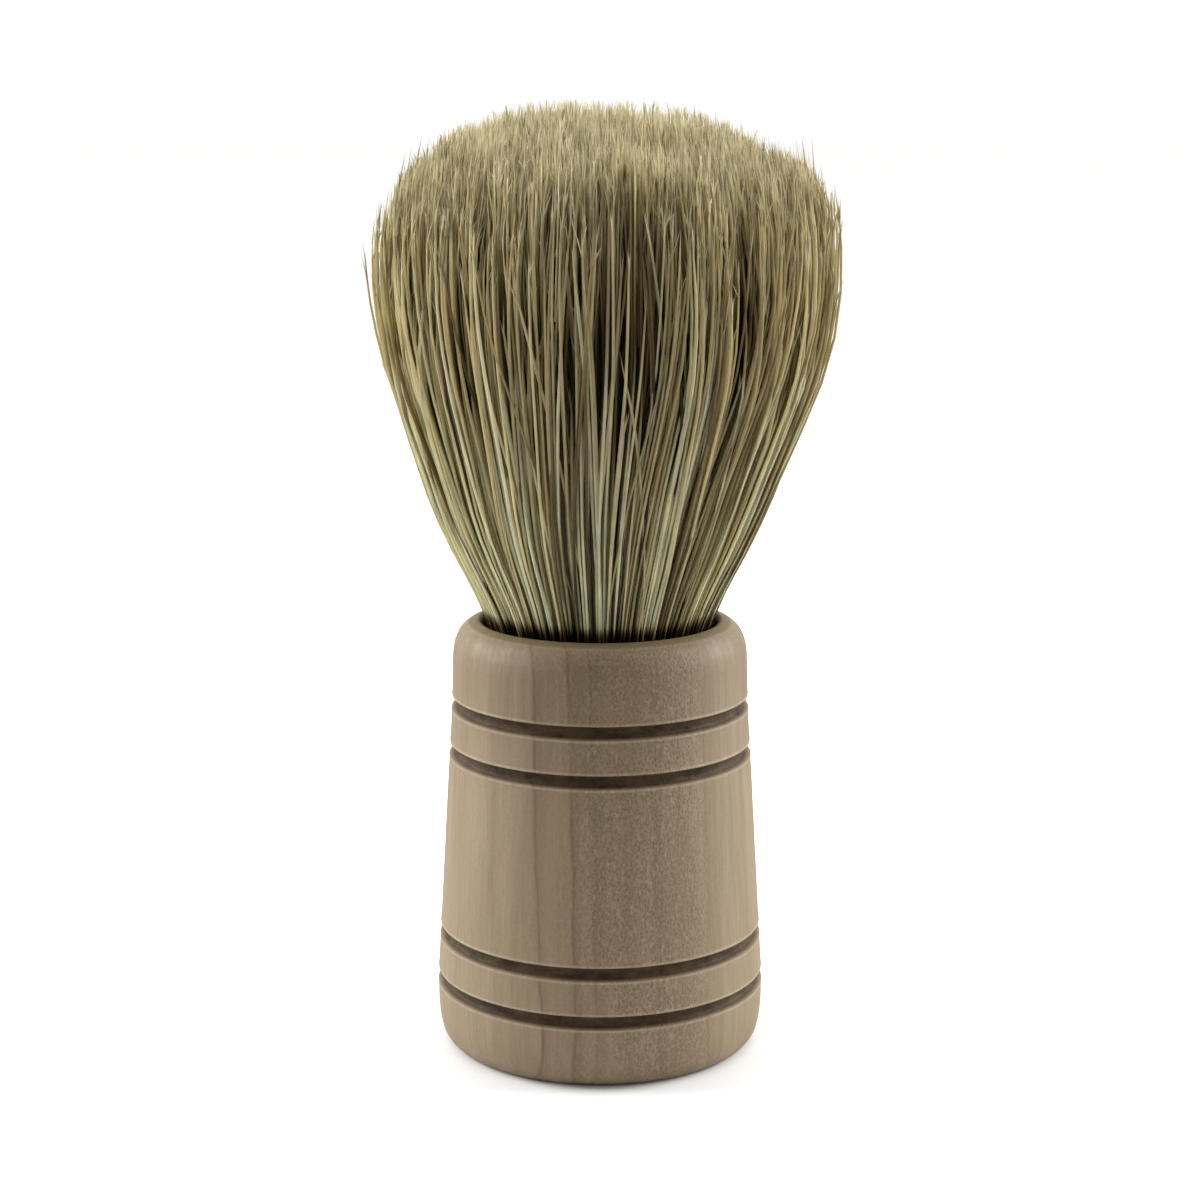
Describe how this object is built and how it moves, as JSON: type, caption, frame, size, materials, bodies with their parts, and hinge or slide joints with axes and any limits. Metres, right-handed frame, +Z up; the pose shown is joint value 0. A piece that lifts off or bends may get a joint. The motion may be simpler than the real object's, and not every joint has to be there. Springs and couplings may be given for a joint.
{
  "type": "shaving brush",
  "caption": "Shaving brush: turned wooden handle with burnt grooves, and a flared, round-topped knot of natural bristle that bends and blooms.",
  "frame": {"origin": "centre of the flat base that the brush stands on", "axes": "+Z up the handle's axis, from the base to the crown of the bristles"},
  "size_m": [0.0512, 0.0512, 0.105],
  "materials": {
    "wood": "turned, sanded and unvarnished, with a fine straight grain; the grooves are burnt dark",
    "adhesive": "cured adhesive, dull",
    "resin": "cast resin, amber brown",
    "cord": "twisted linen cord",
    "bristle_root": "packed natural bristle, dark between the hairs",
    "bristle": "straw-coloured natural bristle with pale, split tips"
  },
  "bodies": {
    "root": {"handle": "wood", "socket_adhesive": "adhesive", "root_plug": "resin", "bristle_root_bundle": "bristle_root", "binding_cord": "cord"},
    "neck": {"bristle_neck": "bristle_root"},
    "core": {"bristle_core": "bristle"},
    "tuft_01": {"bristle_tuft_01": "bristle"},
    "tuft_02": {"bristle_tuft_02": "bristle"},
    "tuft_03": {"bristle_tuft_03": "bristle"},
    "tuft_04": {"bristle_tuft_04": "bristle"},
    "tuft_05": {"bristle_tuft_05": "bristle"},
    "tuft_06": {"bristle_tuft_06": "bristle"},
    "tuft_07": {"bristle_tuft_07": "bristle"},
    "tuft_08": {"bristle_tuft_08": "bristle"},
    "tuft_09": {"bristle_tuft_09": "bristle"},
    "tuft_10": {"bristle_tuft_10": "bristle"},
    "tuft_11": {"bristle_tuft_11": "bristle"},
    "tuft_12": {"bristle_tuft_12": "bristle"}
  },
  "joints": [
    {"name": "knot_bend_x", "type": "hinge", "parent": "root", "child": "neck", "pos_m": [0, 0, 0.0526], "axis": [1, 0, 0], "range_deg": [-15, 15], "stiffness_Nm_per_rad": 0.1},
    {"name": "knot_bend_y", "type": "hinge", "parent": "neck", "child": "core", "pos_m": [0, 0, 0.0526], "axis": [0, 1, 0], "range_deg": [-15, 15], "stiffness_Nm_per_rad": 0.1},
    {"name": "knot_splay", "type": "hinge", "parent": "core", "child": "tuft_01", "pos_m": [0.01599, 0, 0.05571], "axis": [0, 1, 0], "range_deg": [0, 12], "stiffness_Nm_per_rad": 0.008},
    {"name": "knot_splay_02", "type": "hinge", "parent": "core", "child": "tuft_02", "pos_m": [0.01385, 0.008, 0.05571], "axis": [-0.5, 0.866, 0], "range_deg": [0, 12], "stiffness_Nm_per_rad": 0.008},
    {"name": "knot_splay_03", "type": "hinge", "parent": "core", "child": "tuft_03", "pos_m": [0.008, 0.01385, 0.05571], "axis": [-0.866, 0.5, 0], "range_deg": [0, 12], "stiffness_Nm_per_rad": 0.008},
    {"name": "knot_splay_04", "type": "hinge", "parent": "core", "child": "tuft_04", "pos_m": [0, 0.01599, 0.05571], "axis": [-1, 0, 0], "range_deg": [0, 12], "stiffness_Nm_per_rad": 0.008},
    {"name": "knot_splay_05", "type": "hinge", "parent": "core", "child": "tuft_05", "pos_m": [-0.008, 0.01385, 0.05571], "axis": [-0.866, -0.5, 0], "range_deg": [0, 12], "stiffness_Nm_per_rad": 0.008},
    {"name": "knot_splay_06", "type": "hinge", "parent": "core", "child": "tuft_06", "pos_m": [-0.01385, 0.008, 0.05571], "axis": [-0.5, -0.866, 0], "range_deg": [0, 12], "stiffness_Nm_per_rad": 0.008},
    {"name": "knot_splay_07", "type": "hinge", "parent": "core", "child": "tuft_07", "pos_m": [-0.01599, 0, 0.05571], "axis": [0, -1, 0], "range_deg": [0, 12], "stiffness_Nm_per_rad": 0.008},
    {"name": "knot_splay_08", "type": "hinge", "parent": "core", "child": "tuft_08", "pos_m": [-0.01385, -0.008, 0.05571], "axis": [0.5, -0.866, 0], "range_deg": [0, 12], "stiffness_Nm_per_rad": 0.008},
    {"name": "knot_splay_09", "type": "hinge", "parent": "core", "child": "tuft_09", "pos_m": [-0.008, -0.01385, 0.05571], "axis": [0.866, -0.5, 0], "range_deg": [0, 12], "stiffness_Nm_per_rad": 0.008},
    {"name": "knot_splay_10", "type": "hinge", "parent": "core", "child": "tuft_10", "pos_m": [0, -0.01599, 0.05571], "axis": [1, 0, 0], "range_deg": [0, 12], "stiffness_Nm_per_rad": 0.008},
    {"name": "knot_splay_11", "type": "hinge", "parent": "core", "child": "tuft_11", "pos_m": [0.008, -0.01385, 0.05571], "axis": [0.866, 0.5, 0], "range_deg": [0, 12], "stiffness_Nm_per_rad": 0.008},
    {"name": "knot_splay_12", "type": "hinge", "parent": "core", "child": "tuft_12", "pos_m": [0.01385, -0.008, 0.05571], "axis": [0.5, 0.866, 0], "range_deg": [0, 12], "stiffness_Nm_per_rad": 0.008}
  ],
  "couplings": [
    {"joint": "knot_splay_02", "follows": "knot_splay", "ratio": 1},
    {"joint": "knot_splay_03", "follows": "knot_splay", "ratio": 1},
    {"joint": "knot_splay_04", "follows": "knot_splay", "ratio": 1},
    {"joint": "knot_splay_05", "follows": "knot_splay", "ratio": 1},
    {"joint": "knot_splay_06", "follows": "knot_splay", "ratio": 1},
    {"joint": "knot_splay_07", "follows": "knot_splay", "ratio": 1},
    {"joint": "knot_splay_08", "follows": "knot_splay", "ratio": 1},
    {"joint": "knot_splay_09", "follows": "knot_splay", "ratio": 1},
    {"joint": "knot_splay_10", "follows": "knot_splay", "ratio": 1},
    {"joint": "knot_splay_11", "follows": "knot_splay", "ratio": 1},
    {"joint": "knot_splay_12", "follows": "knot_splay", "ratio": 1}
  ]
}
